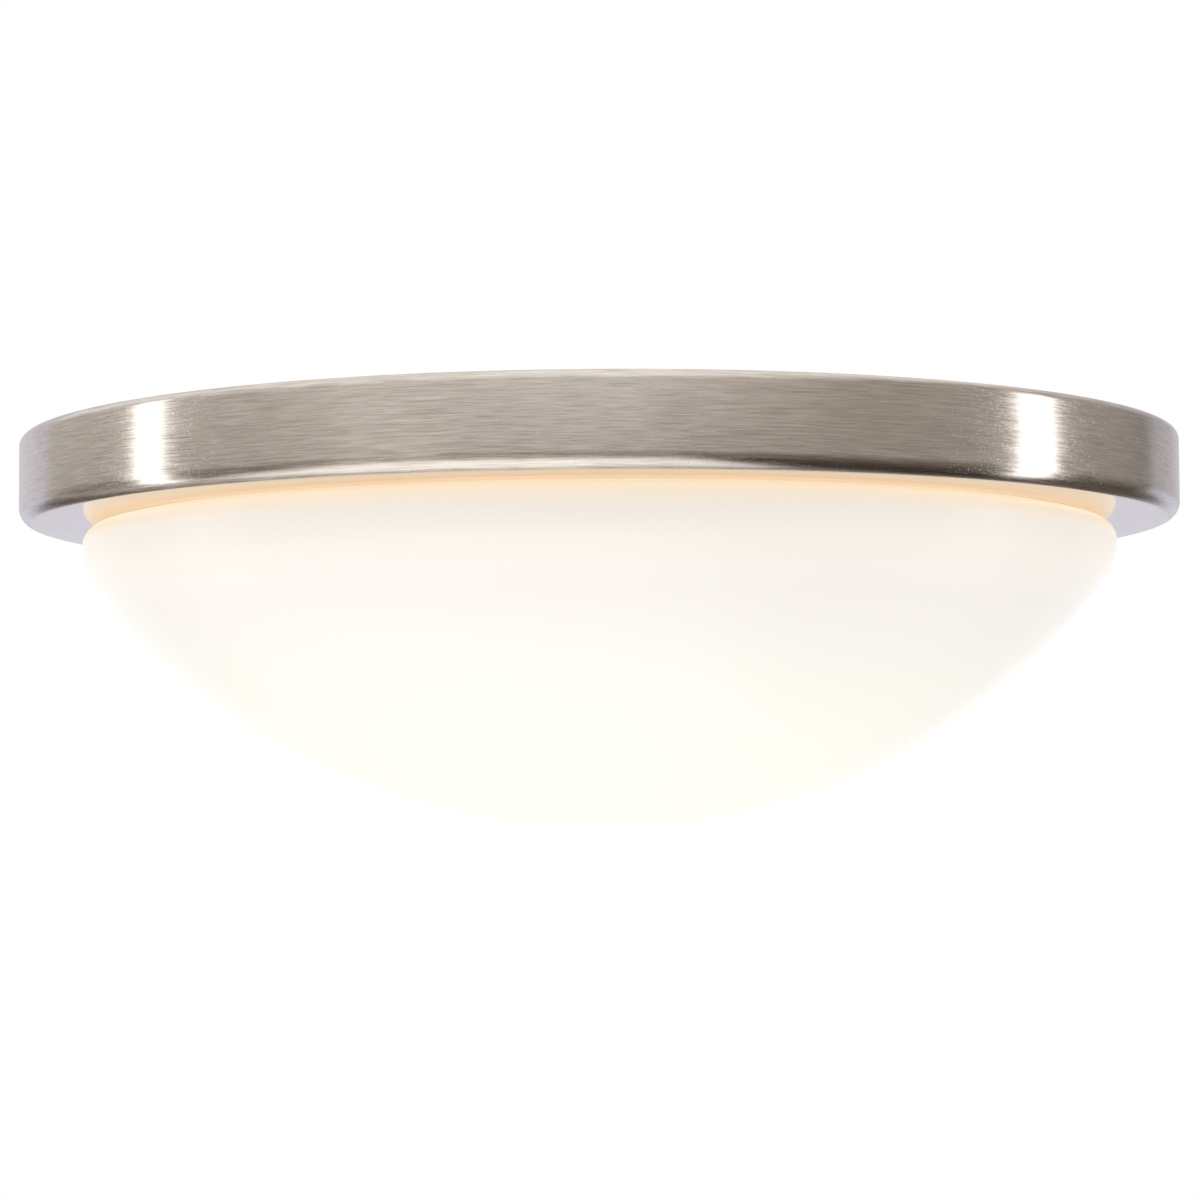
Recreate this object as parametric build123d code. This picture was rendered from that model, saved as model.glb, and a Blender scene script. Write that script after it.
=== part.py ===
from build123d import *
import os
from math import atan2, cos, degrees, pi, radians, sin, tan

# Flush mount ceiling light with an opal glass shade, in millimetres.
# The ceiling is the plane z = 0 and the light hangs below it, with its axis on Z.

# ---- Trim pan: a drawn steel drum, open to the ceiling, with a flange turned in underneath
pan_diameter = 330.0
pan_height = 24.0
pan_sheet = 0.9
pan_top_radius = 2.3            # outside, at the edge against the ceiling
pan_bottom_radius = 4.3         # outside, at the lower edge
pan_top_lip = 6.5               # width of the edge turned in against the ceiling
flange_width = 24.5             # from the pan's wall in to the shade opening
collar_height = 3.5             # the flange's inner edge is turned up as a collar
collar_radius = 1.5

# ---- Backplate: a pressed plate crimped under the pan's top lip
backplate_sheet = 0.9
skirt_depth = 8.0
skirt_clearance = 0.1           # skirt to the inside of the pan's wall
press_radius = 1.6              # outside bends of every pressed sheet
well_radius = 60.0              # flat floor of the central well
well_depth = 8.6
well_slope_width = 7.0
rib_width = 7.0                 # pressed stiffening rib above the lip of the glass
rib_depth = 1.4

# ---- Crossbar: slotted strap between the light and the outlet box
box_screw_spacing = 88.9
box_slot_width = 4.5
box_slot_length = 10.0
crossbar_width = 20.0
crossbar_sheet = 1.6
crossbar_end_margin = 5.5       # past the outer end of each slot
crossbar_offset = 3.5           # the middle of the strap is set down by this much
crossbar_flat_half = 29.0       # half the length of the set-down middle
crossbar_slope_run = 6.0
crossbar_corner = 4.0
nipple_hole_radius = 5.1

# ---- Screws, nuts and rivets
thread_clearance = 0.05         # round every screw or rivet in its hole
stud_spacing = 48.0
stud_radius = 2.0
stud_reach = 13.5               # from under the head to the tip
stud_head_radius = 3.8
stud_head_height = 2.6
nut_across_flats = 7.0
nut_height = 3.2
nut_flange_radius = 4.6
nut_flange_height = 1.0
ground_screw_x = 12.0
ground_screw_radius = 2.0
ground_screw_reach = 3.4
ground_head_radius = 4.0
ground_head_height = 2.4
screw_tip_past = 0.5            # tips past the sheet they are driven into
small_screw_radius = 1.5
small_head_radius = 2.8
small_head_height = 1.8
drive_slot_width = 0.9
drive_slot_depth = 0.8
rivet_radius = 1.6
rivet_head_radius = 2.8
rivet_head_height = 0.7

# ---- Grommets
supply_hole_radius = 8.0
supply_hole_y = 30.0
supply_bore_radius = 5.5
grommet_flange_width = 2.5
grommet_flange_height = 1.8
tray_hole_radius = 5.0
tray_bore_radius = 3.4
tray_web = 1.0                  # thin web across the tray's grommet
tray_hole_inset = 24.0          # from the edge of the tray's face
tray_hole_angle = 225.0

# ---- Reflector tray: a white dish that carries the LED board and covers the wiring
tray_sheet = 0.8
tray_shade_gap = 3.1            # from the tray's rim to the inside of the glass neck
tray_flange_width = 5.5
tray_slope_width = 6.0
tray_face_depth = 17.6          # from under the backplate to the tray's upper face
standoff_inset = 8.0            # from the edge of the tray's face
standoff_radius = 4.0
standoff_count = 3
standoff_tapped_depth = 8.0
tray_screw_reach = 7.0

# ---- LED board
board_margin = 36.0             # from the edge of the tray's face in to the board
board_hole_radius = 12.0
board_sheet = 1.6
board_screw_inset = 8.0
board_screw_angles = (60.0, 180.0, 300.0)
board_screw_past = 2.0
chip_length = 3.5
chip_width = 2.8
chip_height = 0.8
chip_bevel = 0.25
chip_ring_inset = 18.0          # outer ring from the board's edge
chip_ring_pitch = 20.0
chip_counts = (24, 16, 8)       # from the outer ring inwards
connector_length = 7.0          # along the board's radius
connector_width = 8.5
connector_height = 4.4
connector_inset = 7.0           # middle of the connector from the board's edge
connector_socket_depth = 3.0
connector_pitch = 3.0

# ---- Driver: a sealed block with an inset lid
driver_well_gap = 1.5           # from the slope of the well
driver_width = 28.0
driver_length = 72.0
driver_height = 14.5
driver_corner = 3.0
driver_lid_inset = 1.6
driver_lid_sheet = 1.5
driver_lid_clearance = 0.1
driver_ear_length = 10.0
driver_ear_width = 10.0
driver_ear_height = 2.5
driver_lead_depth = 7.2         # leads below the backplate
driver_lead_pitch = 8.0
driver_lead_shift = -4.0        # the pair sits to the side of the ear
driver_socket_depth = 3.0

# ---- Terminal block
block_well_gap = 1.0            # from the slope of the well
block_length = 22.0             # along the wires
block_height = 12.0
pole_pitch = 8.0
pole_count = 3
block_corner = 1.0
barrel_radius = 2.45
barrel_bore = 1.4
barrel_length = 18.0
barrel_depth = 6.2              # below the backplate
barrel_clearance = 0.05
clamp_screw_radius = 1.3
clamp_screw_spacing = 11.0
clamp_well_radius = 1.9
clamp_screw_sunk = 1.0          # below the block's face
block_screw_radius = 1.2
block_screw_head_radius = 2.0
block_screw_head_height = 1.4

# ---- Leads
mains_lead_radius = 1.05
led_lead_radius = 0.8
lead_clearance = 0.15
lead_arc_share = 0.45           # of the shorter run beside a corner
lead_first_bend = 15.0          # past the block's end
lead_second_bend = 41.0         # past the block's end
lead_slant = 6.0                # sideways between those two
lead_corner_run = 12.0          # from the third bend across to the driver's entry
lead_corner_drop = 13.0         # sideways from the block's pole to the third bend
lead_driver_run = 15.0          # straight run into the driver's end
lead_step = 4.0                 # the outer lead of a pair bends this much farther out
earth_lead_run = 5.0            # past the block's end
led_lead_run = 14.0             # past the driver's end
led_lead_drop = 3.0             # from the driver down to the bend over the tray's hole
led_detour_out = 9.6            # past the tray's hole, for the farther lead
led_detour_side = 4.6
earth_screw_gap = 27.0          # from the block's end
tag_sheet = 0.8
tag_ring_radius = 4.0
tag_neck_width = 3.0
tag_barrel_radius = 1.9
tag_barrel_length = 7.0
tag_barrel_start = 6.0          # from the middle of the screw
tag_neck_overlap = 1.0          # of the neck under the barrel
tag_lead_run = 3.0              # straight run of the earth lead into the barrel

# ---- Glass shade
shade_overhang = 6.9            # widest ring of the glass past the opening
shade_depth = 86.8              # from the pan's underside to the lowest point
shade_wall = 3.2
shoulder_radius = 16.5
crown_radius = 4.9              # from the widest ring in to the flange
shade_gap = 0.4                 # between the glass and the flange
neck_fillet = 1.5
bead_clearance = 0.7            # between the rolled lip and the collar
groove_depth = 2.0              # from the lip in to the neck
bead_depth = 11.5               # middle of the lip above the pan's underside
gasket_height = 2.9
gasket_clearance = 0.1          # on the neck
gasket_proud_gap = 0.5          # gasket to collar
gasket_rise = 0.5               # above the pan's underside

# ---- Spring clips: strip bent to a V that catches under the lip of the glass
clip_count = 3
clip_first_angle = 30.0
clip_sheet = 0.6
clip_width = 14.0
clip_foot_length = 14.0
clip_leg_gap = 6.2              # from the lip of the glass out to the leg
clip_gap = 0.3                  # from the strip to the glass
clip_ramp_angle = 35.0
clip_tail_out = 5.4
clip_tail_down = 4.8
clip_corner_radius = 1.6
clip_nose_radius = 1.0
clip_rivet_spacing = 8.0
clip_rivet_inset = 6.0          # from the foot's outer end

# ---- Places worked out from the sizes above
pan_radius = pan_diameter / 2
underside = -pan_height
opening_radius = pan_radius - flange_width
plate_top = -pan_sheet
plate_under = plate_top - backplate_sheet
well_top = plate_top - well_depth
well_under = well_top - backplate_sheet
skirt_radius = pan_radius - pan_sheet - skirt_clearance
strap_mid_top = -crossbar_offset
strap_mid_under = strap_mid_top - crossbar_sheet
well_edge = well_radius + well_slope_width
tray_top = plate_under - tray_face_depth
tray_under = tray_top - tray_sheet
board_under = tray_under - board_sheet
barrel_z = plate_under - barrel_depth
block_under = plate_under - block_height
block_y = well_edge + block_well_gap + pole_count * pole_pitch / 2
driver_x = -(well_edge + driver_well_gap + driver_width / 2)
driver_under = plate_under - driver_height
driver_lead_z = plate_under - driver_lead_depth
connector_z = board_under - connector_height / 2
tag_z = plate_under - tag_barrel_radius - thread_clearance
earth_screw_x = -(block_length / 2 + earth_screw_gap)
earth_screw_y = block_y + (pole_count - 1) * pole_pitch / 2

bead_outer = opening_radius - bead_clearance
neck_radius = bead_outer - groove_depth
bead_radius = (shade_wall + groove_depth) / 2
bead_middle = bead_outer - bead_radius
bead_z = underside + bead_depth
crown_top = underside - shade_gap
widest_radius = opening_radius + shade_overhang
widest_z = crown_top - crown_radius
lowest_z = underside - shade_depth

tray_outer = neck_radius - shade_wall - tray_shade_gap
tray_rim_radius = tray_outer - tray_flange_width
tray_face_radius = tray_rim_radius - tray_slope_width
standoff_place = tray_face_radius - standoff_inset
tray_hole_place = tray_face_radius - tray_hole_inset
board_radius = tray_face_radius - board_margin
board_screw_place = board_radius - board_screw_inset
connector_place = board_radius - connector_inset


def turned(section):
    """Turn a section, drawn as radius and height, about the vertical axis."""
    return revolve(Plane.XZ * section, Axis.Z)


def sheet_section(points, radii, thickness, side=Side.RIGHT):
    """Section of a bent sheet: a line with rounded corners, thickened to one side."""
    line = FilletPolyline(*points, radius=radii)
    return make_face(offset(line, amount=thickness, side=side).edges())


def at_angle(radius, angle, z=0.0, sideways=0.0):
    """Location at a distance from the axis, turned so that its X points outwards."""
    return Rot(0, 0, angle) * Pos(radius, sideways, z)


def upright_hole(x, y, radius):
    """Cutter for a round hole through any sheet between the ceiling and the underside."""
    return Pos(x, y, underside) * Cylinder(radius, pan_height, align=(Align.CENTER, Align.CENTER, Align.MIN))


def screw(seat, radius, reach, head_radius, head_height, head_up=False):
    """Round-headed screw with a drive slot: its head seats at the point, its shank goes through."""
    grow = (Align.CENTER, Align.CENTER, Align.MIN)
    head = Cylinder(head_radius, head_height, align=grow)
    head = fillet(head.edges().sort_by(Axis.Z)[-1], head_height * 0.45)
    slot_z = head_height - drive_slot_depth
    head -= Pos(0, 0, slot_z) * Box(2 * head_radius, drive_slot_width, drive_slot_depth, align=grow)
    shank = Rot(180, 0, 0) * Cylinder(radius, reach, align=grow)
    turn = Rot(0, 0, 0) if head_up else Rot(180, 0, 0)
    return Pos(*seat) * turn * (head + shank)


def rivet(seat, grip):
    """Solid rivet through a stack of sheets that starts at the point and goes up."""
    grow = (Align.CENTER, Align.CENTER, Align.MIN)
    head = Cylinder(rivet_head_radius, rivet_head_height, align=grow)
    head = fillet(head.edges().sort_by(Axis.Z)[-1], rivet_head_height * 0.6)
    shank = Cylinder(rivet_radius, grip, align=grow)
    return Pos(*seat) * (shank + Pos(0, 0, grip) * head + Rot(180, 0, 0) * head)


def grommet(hole_radius, bore_radius, sheet):
    """Rubber ring snapped into a hole: a groove holds the sheet between two rounded flanges."""
    outer = hole_radius + grommet_flange_width
    height = sheet + 2 * grommet_flange_height
    ring = Cylinder(outer, height)
    ring = fillet(ring.edges().filter_by(GeomType.CIRCLE), grommet_flange_height * 0.45)
    groove = Cylinder(outer, sheet) - Cylinder(hole_radius - thread_clearance, sheet)
    return ring - groove - Cylinder(bore_radius, height)


def lead(name, points, radius):
    """Insulated wire: straight runs joined by arcs as large as the runs beside them allow."""
    corners = [Vector(*point) for point in points]
    radii = []
    for before, here, after in zip(corners, corners[1:], corners[2:]):
        first, second = here - before, after - here
        half_turn = radians(first.get_angle(second)) / 2
        radii.append(lead_arc_share * min(first.length, second.length) / tan(half_turn))
    route = FilletPolyline(*corners, radius=radii)
    wire = sweep(Plane(route @ 0, z_dir=route % 0) * Circle(radius), route)
    expected = pi * radius**2 * route.length
    print(f"{name}: length {route.length:.1f}, radii {[round(value, 1) for value in radii]},"
          f" volume {wire.volume:.1f} against {expected:.1f}")
    return wire


def make_trim_pan():
    """Sheet drawn as one line: top lip, wall, flange and collar."""
    line = [(pan_radius - pan_top_lip, 0), (pan_radius, 0), (pan_radius, underside),
            (opening_radius, underside), (opening_radius, underside + collar_height)]
    return turned(sheet_section(line, [pan_top_radius, pan_bottom_radius, collar_radius], pan_sheet))


def clip_angles():
    return [clip_first_angle + index * 360 / clip_count for index in range(clip_count)]


def clip_leg_radius():
    return bead_outer + clip_leg_gap


def clip_rivet_places():
    """Distance from the axis, sideways shift and angle of each clip rivet."""
    radius = clip_leg_radius() + clip_foot_length - clip_rivet_inset
    return [(radius, side * clip_rivet_spacing / 2, angle) for angle in clip_angles() for side in (-1, 1)]


def standoff_angles():
    return [index * 360 / standoff_count for index in range(standoff_count)]


def driver_screw_places():
    middle_x = driver_x + (driver_width - driver_ear_width) / 2
    middle_y = (driver_length + driver_ear_length) / 2
    return [(middle_x, middle_y), (middle_x, -middle_y)]


def pole_places():
    """Distance along Y of each pole of the terminal block."""
    return [block_y + (index - (pole_count - 1) / 2) * pole_pitch for index in range(pole_count)]


def block_screw_place():
    """The block's own screw stands between its first two poles."""
    return 0.0, pole_places()[0] + pole_pitch / 2


def make_backplate():
    """Pressed plate with a central well, a stiffening rib and a skirt inside the pan's wall."""
    rib_inner = bead_middle - rib_width / 2
    rib_outer = bead_middle + rib_width / 2
    line = [(0, well_top), (well_radius, well_top), (well_edge, plate_top),
            (rib_inner, plate_top), (bead_middle, plate_top - rib_depth), (rib_outer, plate_top),
            (skirt_radius, plate_top), (skirt_radius, plate_top - skirt_depth)]
    plate = turned(sheet_section(line, press_radius, backplate_sheet))
    clearance = thread_clearance
    plate -= upright_hole(0, supply_hole_y, supply_hole_radius)
    for side in (-1, 1):
        plate -= upright_hole(side * stud_spacing / 2, 0, stud_radius + clearance)
    for angle in standoff_angles():
        place = at_angle(standoff_place, angle).position
        plate -= upright_hole(place.X, place.Y, rivet_radius + clearance)
    for radius, sideways, angle in clip_rivet_places():
        place = at_angle(radius, angle, sideways=sideways).position
        plate -= upright_hole(place.X, place.Y, rivet_radius + clearance)
    for x, y in driver_screw_places():
        plate -= upright_hole(x, y, small_screw_radius + clearance)
    plate -= upright_hole(*block_screw_place(), block_screw_radius + clearance)
    plate -= upright_hole(earth_screw_x, earth_screw_y, small_screw_radius + clearance)
    return plate


def make_crossbar():
    """Strap with a set-down middle, two slots for the box screws and three round holes."""
    slot_outer = (box_screw_spacing + box_slot_length) / 2
    half_length = slot_outer + crossbar_end_margin
    slope_end = crossbar_flat_half + crossbar_slope_run
    line = [(-half_length, 0), (-slope_end, 0), (-crossbar_flat_half, strap_mid_top),
            (crossbar_flat_half, strap_mid_top), (slope_end, 0), (half_length, 0)]
    section = sheet_section(line, press_radius, crossbar_sheet)
    strap = extrude(Plane.XZ * section, crossbar_width / 2, both=True)
    ends = [edge for edge in strap.edges().filter_by(Axis.Z) if abs(edge.center().X) > slope_end]
    strap = fillet(ends, crossbar_corner)
    slot = extrude(SlotOverall(box_slot_length, box_slot_width), crossbar_sheet + crossbar_offset, both=True)
    for side in (-1, 1):
        strap -= Pos(side * box_screw_spacing / 2, 0, 0) * slot
        strap -= upright_hole(side * stud_spacing / 2, 0, stud_radius + thread_clearance)
    strap -= upright_hole(0, 0, nipple_hole_radius)
    strap -= upright_hole(ground_screw_x, 0, ground_screw_radius + thread_clearance)
    return strap


def make_crossbar_studs():
    """Two machine screws that hang from the crossbar, heads up."""
    return [screw((side * stud_spacing / 2, 0, strap_mid_top), stud_radius, stud_reach,
                  stud_head_radius, stud_head_height, head_up=True) for side in (-1, 1)]


def make_mounting_nuts():
    """Flanged hexagon nuts that draw the well up towards the crossbar."""
    drop = (Align.CENTER, Align.CENTER, Align.MAX)
    hexagon = extrude(RegularPolygon(nut_across_flats / 2, 6, major_radius=False), -nut_height)
    hexagon += Cylinder(nut_flange_radius, nut_flange_height, align=drop)
    hexagon -= Cylinder(stud_radius + thread_clearance, nut_height, align=drop)
    return [Pos(side * stud_spacing / 2, 0, well_under) * hexagon for side in (-1, 1)]


def make_ground_screw():
    return screw((ground_screw_x, 0, strap_mid_under), ground_screw_radius, ground_screw_reach,
                 ground_head_radius, ground_head_height)


def make_supply_grommet():
    middle = Pos(0, supply_hole_y, well_top - backplate_sheet / 2)
    return middle * grommet(supply_hole_radius, supply_bore_radius, backplate_sheet)


def make_tray_grommet():
    """Grommet closed at its top by a thin web, with a hole for each of the two leads."""
    drop = (Align.CENTER, Align.CENTER, Align.MAX)
    web = Cylinder(tray_bore_radius, tray_web, align=drop)
    for sideways in connector_ways():
        web -= Pos(0, sideways, 0) * Cylinder(led_lead_radius + lead_clearance, tray_web, align=drop)
    web_top = tray_sheet / 2 + grommet_flange_height
    ring = grommet(tray_hole_radius, tray_bore_radius, tray_sheet) + Pos(0, 0, web_top) * web
    return at_angle(tray_hole_place, tray_hole_angle, tray_top - tray_sheet / 2) * ring


def make_standoffs():
    """Pillars riveted through the backplate and tapped for the tray's screws."""
    drop = (Align.CENTER, Align.CENTER, Align.MAX)
    grow = (Align.CENTER, Align.CENTER, Align.MIN)
    pillar = Cylinder(standoff_radius, tray_face_depth, align=drop)
    pillar += Cylinder(rivet_radius, backplate_sheet, align=grow)
    pillar += Pos(0, 0, backplate_sheet) * Cylinder(rivet_head_radius, rivet_head_height, align=grow)
    tapped = Cylinder(small_screw_radius + thread_clearance, standoff_tapped_depth, align=grow)
    pillar -= Pos(0, 0, -tray_face_depth) * tapped
    return [at_angle(standoff_place, angle, plate_under) * pillar for angle in standoff_angles()]


def make_reflector_tray():
    """White dish: flat face, sloping wall and a narrow rim flat against the backplate."""
    line = [(0, tray_under), (tray_face_radius, tray_under), (tray_rim_radius, plate_under - tray_sheet),
            (tray_outer, plate_under - tray_sheet)]
    tray = turned(sheet_section(line, press_radius, tray_sheet, Side.LEFT))
    for angle in standoff_angles():
        place = at_angle(standoff_place, angle).position
        tray -= upright_hole(place.X, place.Y, small_screw_radius + thread_clearance)
    for angle in board_screw_angles:
        place = at_angle(board_screw_place, angle).position
        tray -= upright_hole(place.X, place.Y, small_screw_radius + thread_clearance)
    place = at_angle(tray_hole_place, tray_hole_angle).position
    return tray - upright_hole(place.X, place.Y, tray_hole_radius)


def make_tray_screws():
    return [screw(at_angle(standoff_place, angle, tray_under).position, small_screw_radius,
                  tray_screw_reach, small_head_radius, small_head_height) for angle in standoff_angles()]


def make_led_board():
    """Flat ring of aluminium core board under the tray."""
    middle_z = tray_under - board_sheet / 2
    disc = Cylinder(board_radius, board_sheet)
    board = Pos(0, 0, middle_z) * (disc - Cylinder(board_hole_radius, board_sheet))
    for angle in board_screw_angles:
        place = at_angle(board_screw_place, angle, middle_z)
        board -= place * Cylinder(small_screw_radius + thread_clearance, board_sheet)
    return board


def make_led_chips():
    """Small bevelled blocks in three rings, long side along the ring."""
    chip = Box(chip_width, chip_length, chip_height, align=(Align.CENTER, Align.CENTER, Align.MAX))
    chip = chamfer(chip.edges().group_by(Axis.Z)[0], chip_bevel)
    chips = []
    for ring, count in enumerate(chip_counts):
        radius = board_radius - chip_ring_inset - ring * chip_ring_pitch
        chips += [at_angle(radius, index * 360 / count, board_under) * chip for index in range(count)]
    return chips


def make_board_screws():
    reach = board_sheet + tray_sheet + board_screw_past
    return [screw(at_angle(board_screw_place, angle, board_under).position, small_screw_radius,
                  reach, small_head_radius, small_head_height) for angle in board_screw_angles]


def connector_ways():
    return [side * connector_pitch / 2 for side in (-1, 1)]


def make_board_connector():
    """Two-way socket on the board, its mouth towards the lead hole in the tray."""
    body = Box(connector_length, connector_width, connector_height)
    body = fillet(body.edges().filter_by(Axis.Z), chip_bevel)
    mouth_x = (connector_length - connector_socket_depth) / 2
    for sideways in connector_ways():
        way = Rot(0, 90, 0) * Cylinder(led_lead_radius + lead_clearance, connector_socket_depth)
        body -= Pos(mouth_x, sideways, 0) * way
    return at_angle(connector_place, tray_hole_angle, connector_z) * body


def driver_lead_places():
    return [driver_x + driver_lead_shift + side * driver_lead_pitch / 2 for side in (-1, 1)]


def make_driver_case():
    """Sealed block with an ear at each end, recessed for its lid and for its leads."""
    drop = (Align.CENTER, Align.CENTER, Align.MAX)
    block = Box(driver_width, driver_length, driver_height, align=drop)
    block = fillet(block.edges().filter_by(Axis.Z), driver_corner)
    case = Pos(driver_x, 0, plate_under) * block
    overlap = driver_corner
    for (x, y), side in zip(driver_screw_places(), (1, -1)):
        ear = Box(driver_ear_width, driver_ear_length + overlap, driver_ear_height, align=drop)
        case += Pos(x, y - side * overlap / 2, plate_under) * ear
    for x, y in driver_screw_places():
        case -= upright_hole(x, y, small_screw_radius + thread_clearance)
    recess = Box(driver_width - 2 * driver_lid_inset, driver_length - 2 * driver_lid_inset, driver_lid_sheet,
                 align=(Align.CENTER, Align.CENTER, Align.MIN))
    case -= Pos(driver_x, 0, driver_under) * recess
    socket = Rot(90, 0, 0) * Cylinder(mains_lead_radius + lead_clearance, driver_socket_depth)
    for x in driver_lead_places():
        for side in (-1, 1):
            middle_y = side * (driver_length - driver_socket_depth) / 2
            case -= Pos(x, middle_y, driver_lead_z) * socket
    return case


def make_driver_lid():
    inset = 2 * (driver_lid_inset + driver_lid_clearance)
    plate = Box(driver_width - inset, driver_length - inset, driver_lid_sheet,
                align=(Align.CENTER, Align.CENTER, Align.MIN))
    plate = fillet(plate.edges().filter_by(Axis.Z), driver_corner - driver_lid_inset)
    return Pos(driver_x, 0, driver_under) * plate


def make_driver_screws():
    seat_z = plate_under - driver_ear_height
    reach = driver_ear_height + backplate_sheet + screw_tip_past
    return [screw((x, y, seat_z), small_screw_radius, reach, small_head_radius, small_head_height)
            for x, y in driver_screw_places()]


def clamp_screw_places():
    return [(side * clamp_screw_spacing / 2, y) for y in pole_places() for side in (-1, 1)]


def make_terminal_block():
    """Moulded body: a bore for each brass barrel and a well for each clamping screw."""
    grow = (Align.CENTER, Align.CENTER, Align.MIN)
    width = pole_count * pole_pitch
    body = Box(block_length, width, block_height, align=(Align.CENTER, Align.CENTER, Align.MAX))
    body = fillet(body.edges().filter_by(Axis.Z), block_corner)
    body = Pos(0, block_y, plate_under) * body
    for y in pole_places():
        body -= Pos(0, y, barrel_z) * Rot(0, 90, 0) * Cylinder(barrel_radius + barrel_clearance, block_length)
    for x, y in clamp_screw_places():
        body -= Pos(x, y, block_under) * Cylinder(clamp_well_radius, barrel_z - block_under, align=grow)
    x, y = block_screw_place()
    body -= upright_hole(x, y, block_screw_radius + thread_clearance)
    counterbore = Cylinder(block_screw_head_radius, 2 * block_screw_head_height, align=grow)
    return body - Pos(x, y, block_under) * counterbore


def make_terminal_barrels():
    """Brass tubes, each with two tapped holes underneath."""
    drop = (Align.CENTER, Align.CENTER, Align.MAX)
    barrel = Cylinder(barrel_radius, barrel_length) - Cylinder(barrel_bore, barrel_length)
    barrel = Rot(0, 90, 0) * barrel
    for side in (-1, 1):
        tapped = Cylinder(clamp_screw_radius + thread_clearance, barrel_radius, align=drop)
        barrel -= Pos(side * clamp_screw_spacing / 2, 0, 0) * tapped
    return [Pos(0, y, barrel_z) * barrel for y in pole_places()]


def make_terminal_screws():
    """Headless clamping screws, slotted, with their tips on the leads."""
    tip_z = barrel_z - mains_lead_radius - thread_clearance
    foot_z = block_under + clamp_screw_sunk
    body = Cylinder(clamp_screw_radius, tip_z - foot_z, align=(Align.CENTER, Align.CENTER, Align.MIN))
    body -= Box(2 * clamp_screw_radius, drive_slot_width / 2, 2 * drive_slot_depth)
    return [Pos(x, y, foot_z) * body for x, y in clamp_screw_places()]


def make_block_screw():
    seat_z = block_under + 2 * block_screw_head_height
    x, y = block_screw_place()
    reach = plate_top + screw_tip_past - seat_z
    return screw((x, y, seat_z), block_screw_radius, reach, block_screw_head_radius, block_screw_head_height)


def make_earth_tag():
    """Ring tag with a crimp barrel for the earth lead, flat against the backplate."""
    drop = (Align.CENTER, Align.CENTER, Align.MAX)
    barrel_end = tag_barrel_start + tag_barrel_length
    ring = Cylinder(tag_ring_radius, tag_sheet, align=drop)
    neck_align = (Align.MIN, Align.CENTER, Align.MAX)
    neck = Box(tag_barrel_start + tag_neck_overlap, tag_neck_width, tag_sheet, align=neck_align)
    along = Pos((tag_barrel_start + barrel_end) / 2, 0, tag_z - plate_under) * Rot(0, 90, 0)
    tag = ring + neck + along * Cylinder(tag_barrel_radius, tag_barrel_length)
    tag -= along * Cylinder(mains_lead_radius + thread_clearance, tag_barrel_length)
    tag -= Cylinder(small_screw_radius + thread_clearance, tag_sheet, align=drop)
    return Pos(earth_screw_x, earth_screw_y, plate_under) * tag


def make_earth_screw():
    seat = (earth_screw_x, earth_screw_y, plate_under - tag_sheet)
    reach = tag_sheet + backplate_sheet + screw_tip_past
    return screw(seat, small_screw_radius, reach, small_head_radius, small_head_height)


def make_spring_clip(angle):
    """Strip: foot under the backplate, leg, ramp just under the lip, nose in the groove, tail."""
    leg = clip_leg_radius()
    slope = radians(clip_ramp_angle)
    reach = bead_radius + clip_gap
    touch_r, touch_z = bead_middle + reach * sin(slope), bead_z - reach * cos(slope)
    nose_r = neck_radius + clip_gap
    nose_z = touch_z - (touch_r - nose_r) * tan(slope)
    leg_z = touch_z + (leg - touch_r) * tan(slope)
    line = [(leg + clip_foot_length, plate_under), (leg, plate_under), (leg, leg_z), (nose_r, nose_z),
            (nose_r + clip_tail_out, nose_z - clip_tail_down)]
    radii = [clip_corner_radius, clip_corner_radius, clip_nose_radius]
    section = sheet_section(line, radii, clip_sheet, Side.LEFT)
    strip = extrude(Plane.XZ * section, clip_width / 2, both=True)
    strip = Rot(0, 0, angle) * strip
    for radius, sideways, place_angle in clip_rivet_places():
        if place_angle == angle:
            place = at_angle(radius, angle, sideways=sideways).position
            strip -= upright_hole(place.X, place.Y, rivet_radius + thread_clearance)
    return strip


def make_clip_rivets():
    grip = clip_sheet + backplate_sheet
    return [rivet(at_angle(radius, angle, plate_under - clip_sheet, sideways).position, grip)
            for radius, sideways, angle in clip_rivet_places()]


def shade_region(inset, top):
    """Region inside the shade's surface, or inside it by an inset, from the axis outwards.

    A sphere of large radius meets the shoulder arc at a common tangent, the shoulder turns
    into the crown at the widest ring, and the crown runs flat in to the neck.
    """
    shoulder_r = widest_radius - shoulder_radius
    bowl = widest_z - lowest_z
    sphere_radius = (shoulder_r**2 + bowl**2 - shoulder_radius**2) / (2 * (bowl - shoulder_radius))
    sphere_z = lowest_z + sphere_radius
    meet = degrees(atan2(widest_z - sphere_z, shoulder_r))
    sphere = CenterArc((0, sphere_z), sphere_radius - inset, -90, meet + 90)
    shoulder = CenterArc((shoulder_r, widest_z), shoulder_radius - inset, meet, -meet)
    crown = CenterArc((widest_radius - crown_radius, widest_z), crown_radius - inset, 0, 90)
    root_middle = (neck_radius + neck_fillet, crown_top + neck_fillet)
    root = CenterArc(root_middle, neck_fillet + inset, 270, -90)
    neck_top = (neck_radius - inset, top)
    straights = Polyline(root @ 1, neck_top, (0, top), sphere @ 0)
    return make_face([sphere, shoulder, crown, Line(crown @ 1, root @ 0), root, *straights.edges()])


def make_glass_shade():
    """Blown opal dome of even wall, with a neck and a rolled lip."""
    dome = turned(shade_region(0, bead_z)) - turned(shade_region(shade_wall, bead_z))
    return dome + turned(Pos(bead_middle, bead_z) * Circle(bead_radius))


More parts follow.
